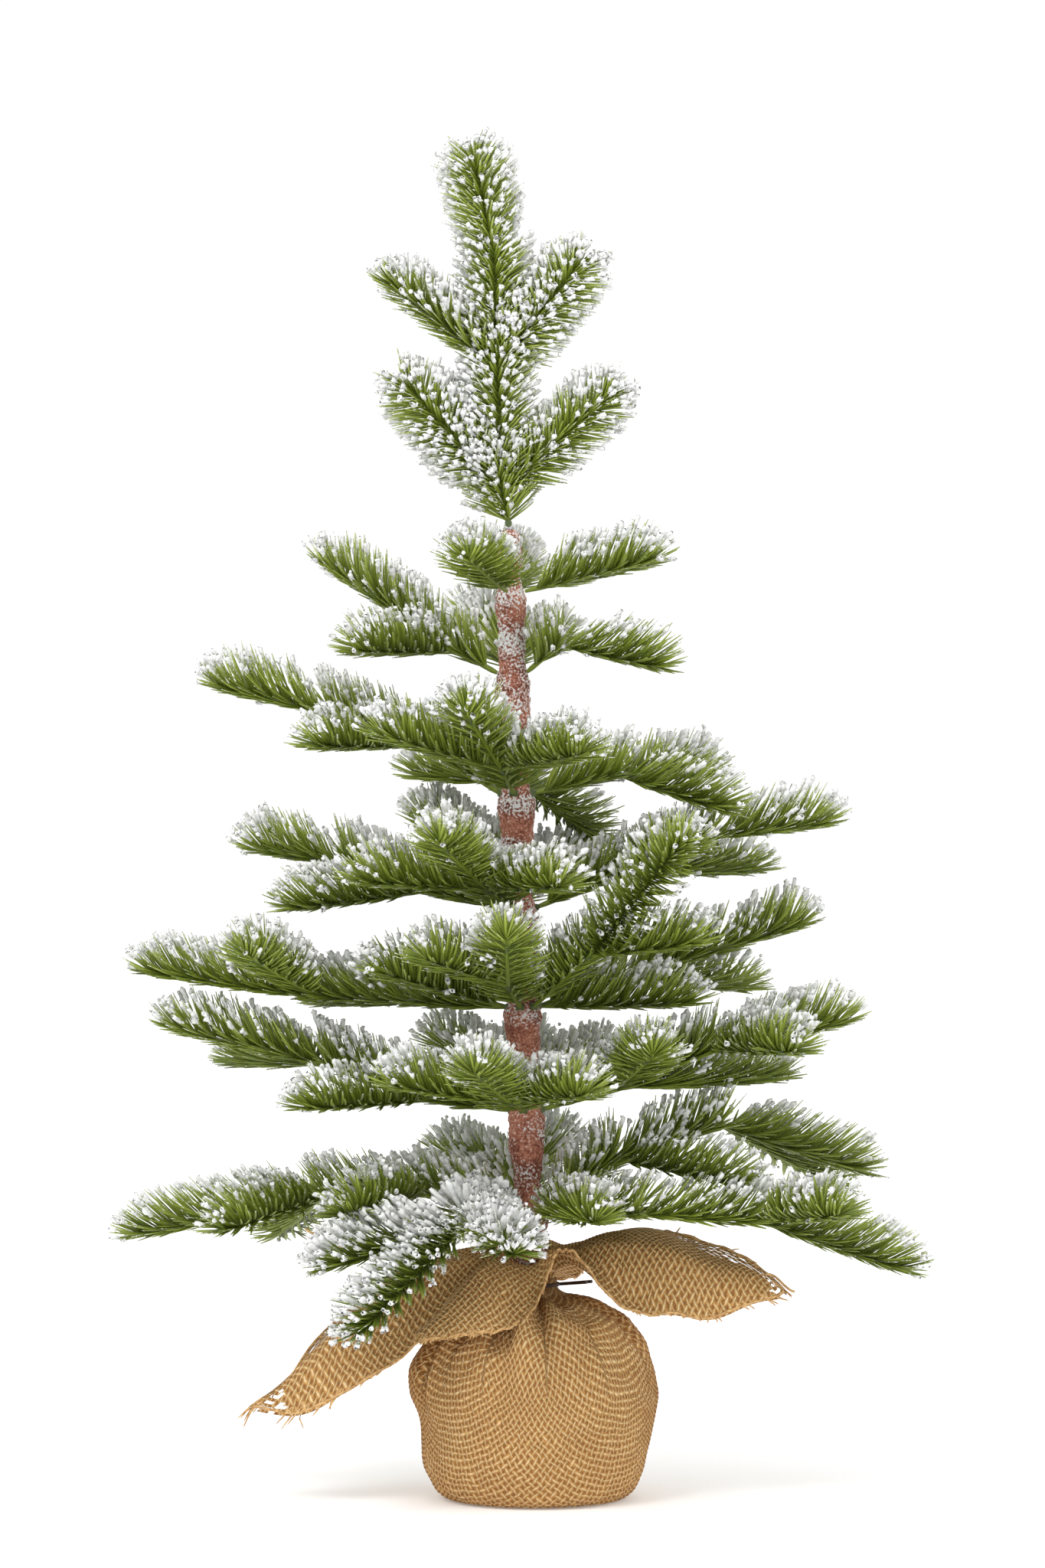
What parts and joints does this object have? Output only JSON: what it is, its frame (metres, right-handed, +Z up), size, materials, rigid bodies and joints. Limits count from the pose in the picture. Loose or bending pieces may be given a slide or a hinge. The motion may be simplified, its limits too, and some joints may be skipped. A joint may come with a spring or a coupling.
{
  "type": "artificial tabletop tree",
  "caption": "Small artificial conifer with frosted moulded needles on bendable wire branches, a tape-wrapped trunk and a weighted base gathered in burlap.",
  "frame": {"origin": "centre of the flat underside of the burlap base", "axes": "+Z up, -Y towards the front, +X to the right of the front view"},
  "size_m": [0.3374, 0.2113, 0.598],
  "materials": {
    "cement": "rough cast cement",
    "liner": "thin moulded plastic",
    "burlap": "open plain weave, golden tan",
    "tie": "dark brown coating",
    "steel": "plain drawn wire",
    "bark_tape": "red-brown crepe tape, frosted white",
    "branch_wire": "green coating",
    "needles": "moulded soft needles with white flock"
  },
  "bodies": {
    "stand": {"cement_weight": "cement", "base_liner": "liner", "burlap_wrap": "burlap", "neck_tie": "tie", "centre_rod": "steel", "trunk_tape": "bark_tape"},
    "leader": {"leader_wire": "branch_wire", "leader_tips": "needles"},
    "branch_1_left": {"wire_1_left": "branch_wire", "tips_1_left": "needles"},
    "branch_1_front_left": {"wire_1_front_left": "branch_wire", "tips_1_front_left": "needles"},
    "branch_1_right_low": {"wire_1_right_low": "branch_wire", "tips_1_right_low": "needles"},
    "branch_1_right_high": {"wire_1_right_high": "branch_wire", "tips_1_right_high": "needles"},
    "branch_1_back": {"wire_1_back": "branch_wire", "tips_1_back": "needles"},
    "branch_2_left": {"wire_2_left": "branch_wire", "tips_2_left": "needles"},
    "branch_2_front": {"wire_2_front": "branch_wire", "tips_2_front": "needles"},
    "branch_2_right": {"wire_2_right": "branch_wire", "tips_2_right": "needles"},
    "branch_2_back": {"wire_2_back": "branch_wire", "tips_2_back": "needles"},
    "branch_3_left": {"wire_3_left": "branch_wire", "tips_3_left": "needles"},
    "branch_3_front": {"wire_3_front": "branch_wire", "tips_3_front": "needles"},
    "branch_3_front_right": {"wire_3_front_right": "branch_wire", "tips_3_front_right": "needles"},
    "branch_3_right": {"wire_3_right": "branch_wire", "tips_3_right": "needles"},
    "branch_3_back": {"wire_3_back": "branch_wire", "tips_3_back": "needles"},
    "branch_4_left": {"wire_4_left": "branch_wire", "tips_4_left": "needles"},
    "branch_4_front": {"wire_4_front": "branch_wire", "tips_4_front": "needles"},
    "branch_4_right": {"wire_4_right": "branch_wire", "tips_4_right": "needles"},
    "branch_4_back": {"wire_4_back": "branch_wire", "tips_4_back": "needles"},
    "branch_5_left": {"wire_5_left": "branch_wire", "tips_5_left": "needles"},
    "branch_5_front": {"wire_5_front": "branch_wire", "tips_5_front": "needles"},
    "branch_5_right": {"wire_5_right": "branch_wire", "tips_5_right": "needles"},
    "branch_5_back": {"wire_5_back": "branch_wire", "tips_5_back": "needles"},
    "branch_6_left": {"branch_6_left": "needles"},
    "branch_6_right": {"branch_6_right": "needles"},
    "branch_6_back": {"branch_6_back": "needles"},
    "branch_7_front": {"branch_7_front": "needles"},
    "branch_7_right": {"branch_7_right": "needles"},
    "branch_7_back": {"branch_7_back": "needles"}
  },
  "joints": [
    {"name": "branch_1_left_bend", "type": "hinge", "parent": "stand", "child": "branch_1_left", "pos_m": [-0.0095, 0, 0.12675], "axis": [0, 1, 0], "range_deg": [-2, 10]},
    {"name": "branch_1_front_left_bend", "type": "hinge", "parent": "stand", "child": "branch_1_front_left", "pos_m": [-0.00652, -0.00573, 0.12684], "axis": [-0.8188, 0.5736, -0.025], "range_deg": [-5, 4]},
    {"name": "branch_1_right_low_bend", "type": "hinge", "parent": "stand", "child": "branch_1_right_low", "pos_m": [0.00384, -0.00296, 0.12715], "axis": [-0.4224, -0.9063, -0.0129], "range_deg": [-5, 2]},
    {"name": "branch_1_right_high_bend", "type": "hinge", "parent": "stand", "child": "branch_1_right_high", "pos_m": [0.00425, 0.00181, 0.12717], "axis": [0.2587, -0.9659, 0.0079], "range_deg": [-2, 3]},
    {"name": "branch_1_back_bend", "type": "hinge", "parent": "stand", "child": "branch_1_back", "pos_m": [-0.00372, 0.00689, 0.12693], "axis": [0.9843, 0.1736, 0.0301], "range_deg": [-10, 10]},
    {"name": "branch_2_left_bend", "type": "hinge", "parent": "stand", "child": "branch_2_left", "pos_m": [-0.01091, 0, 0.17273], "axis": [0, 1, 0], "range_deg": [-8, 2]},
    {"name": "branch_2_front_bend", "type": "hinge", "parent": "stand", "child": "branch_2_front", "pos_m": [-0.00512, -0.00689, 0.1729], "axis": [-0.9843, 0.1736, -0.0301], "range_deg": [-15, 20]},
    {"name": "branch_2_right_bend", "type": "hinge", "parent": "stand", "child": "branch_2_right", "pos_m": [0.00306, -0.00061, 0.17315], "axis": [-0.0871, -0.9962, -0.0027], "range_deg": [-3, 10]},
    {"name": "branch_2_back_bend", "type": "hinge", "parent": "stand", "child": "branch_2_back", "pos_m": [-0.00391, 0.007, 0.17294], "axis": [0.9995, 0, 0.0305], "range_deg": [-8, 6]},
    {"name": "branch_3_left_bend", "type": "hinge", "parent": "stand", "child": "branch_3_left", "pos_m": [-0.01231, 0, 0.21871], "axis": [0, 1, 0], "range_deg": [-2, 5]},
    {"name": "branch_3_front_bend", "type": "hinge", "parent": "stand", "child": "branch_3_front", "pos_m": [-0.00653, -0.00689, 0.21888], "axis": [-0.9843, 0.1736, -0.0301], "range_deg": [-12, 8]},
    {"name": "branch_3_front_right_bend", "type": "hinge", "parent": "stand", "child": "branch_3_front_right", "pos_m": [-0.00082, -0.00536, 0.21906], "axis": [-0.7657, -0.6428, -0.0234], "range_deg": [-6, 3]},
    {"name": "branch_3_right_bend", "type": "hinge", "parent": "stand", "child": "branch_3_right", "pos_m": [0.00145, 0.00181, 0.21912], "axis": [0.2587, -0.9659, 0.0079], "range_deg": [-8, 10]},
    {"name": "branch_3_back_bend", "type": "hinge", "parent": "stand", "child": "branch_3_back", "pos_m": [-0.00592, 0.00697, 0.2189], "axis": [0.9957, 0.0872, 0.0304], "range_deg": [-5, 8]},
    {"name": "branch_4_left_bend", "type": "hinge", "parent": "stand", "child": "branch_4_left", "pos_m": [-0.01363, 0.00061, 0.26269], "axis": [0.0871, 0.9962, 0.0027], "range_deg": [-5, 20]},
    {"name": "branch_4_front_bend", "type": "hinge", "parent": "stand", "child": "branch_4_front", "pos_m": [-0.00905, -0.00658, 0.26282], "axis": [-0.9393, 0.342, -0.0287], "range_deg": [-6, 15]},
    {"name": "branch_4_right_bend", "type": "hinge", "parent": "stand", "child": "branch_4_right", "pos_m": [0.00031, 0.00061, 0.26311], "axis": [0.0871, -0.9962, 0.0027], "range_deg": [-6, 10]},
    {"name": "branch_4_back_bend", "type": "hinge", "parent": "stand", "child": "branch_4_back", "pos_m": [-0.00727, 0.00697, 0.26288], "axis": [0.9957, 0.0872, 0.0304], "range_deg": [-8, 4]},
    {"name": "branch_5_left_bend", "type": "hinge", "parent": "stand", "child": "branch_5_left", "pos_m": [-0.01519, -0.00061, 0.31366], "axis": [-0.0871, 0.9962, -0.0027], "range_deg": [-12, 12]},
    {"name": "branch_5_front_bend", "type": "hinge", "parent": "stand", "child": "branch_5_front", "pos_m": [-0.00943, -0.00689, 0.31384], "axis": [-0.9843, 0.1736, -0.0301], "range_deg": [-15, 20]},
    {"name": "branch_5_right_bend", "type": "hinge", "parent": "stand", "child": "branch_5_right", "pos_m": [-0.00132, -0.00122, 0.31409], "axis": [-0.1736, -0.9848, -0.0053], "range_deg": [-6, 20]},
    {"name": "branch_5_back_bend", "type": "hinge", "parent": "stand", "child": "branch_5_back", "pos_m": [-0.00822, 0.007, 0.31388], "axis": [0.9995, 0, 0.0305], "range_deg": [-4, 15]},
    {"name": "branch_6_left_bend", "type": "hinge", "parent": "stand", "child": "branch_6_left", "pos_m": [-0.01683, -0.00061, 0.36764], "axis": [-0.0871, 0.9962, -0.0027], "range_deg": [-10, 20]},
    {"name": "branch_6_right_bend", "type": "hinge", "parent": "stand", "child": "branch_6_right", "pos_m": [-0.00352, -0.00296, 0.36804], "axis": [-0.4224, -0.9063, -0.0129], "range_deg": [-15, 18]},
    {"name": "branch_6_back_bend", "type": "hinge", "parent": "stand", "child": "branch_6_back", "pos_m": [-0.01047, 0.00697, 0.36783], "axis": [0.9957, 0.0872, 0.0304], "range_deg": [-10, 12]},
    {"name": "branch_7_front_bend", "type": "hinge", "parent": "stand", "child": "branch_7_front", "pos_m": [-0.01277, -0.00676, 0.40378], "axis": [-0.9655, 0.2588, -0.0295], "range_deg": [-15, 30]},
    {"name": "branch_7_right_bend", "type": "hinge", "parent": "stand", "child": "branch_7_right", "pos_m": [-0.00439, -0.00239, 0.40403], "axis": [-0.3419, -0.9397, -0.0104], "range_deg": [-8, 30]},
    {"name": "branch_7_back_bend", "type": "hinge", "parent": "stand", "child": "branch_7_back", "pos_m": [-0.01096, 0.007, 0.40383], "axis": [0.9995, 0, 0.0305], "range_deg": [-8, 30]},
    {"name": "leader_bend", "type": "hinge", "parent": "stand", "child": "leader", "pos_m": [-0.01189, 0, 0.43432], "axis": [0, -1, 0], "range_deg": [-12, 12]}
  ]
}
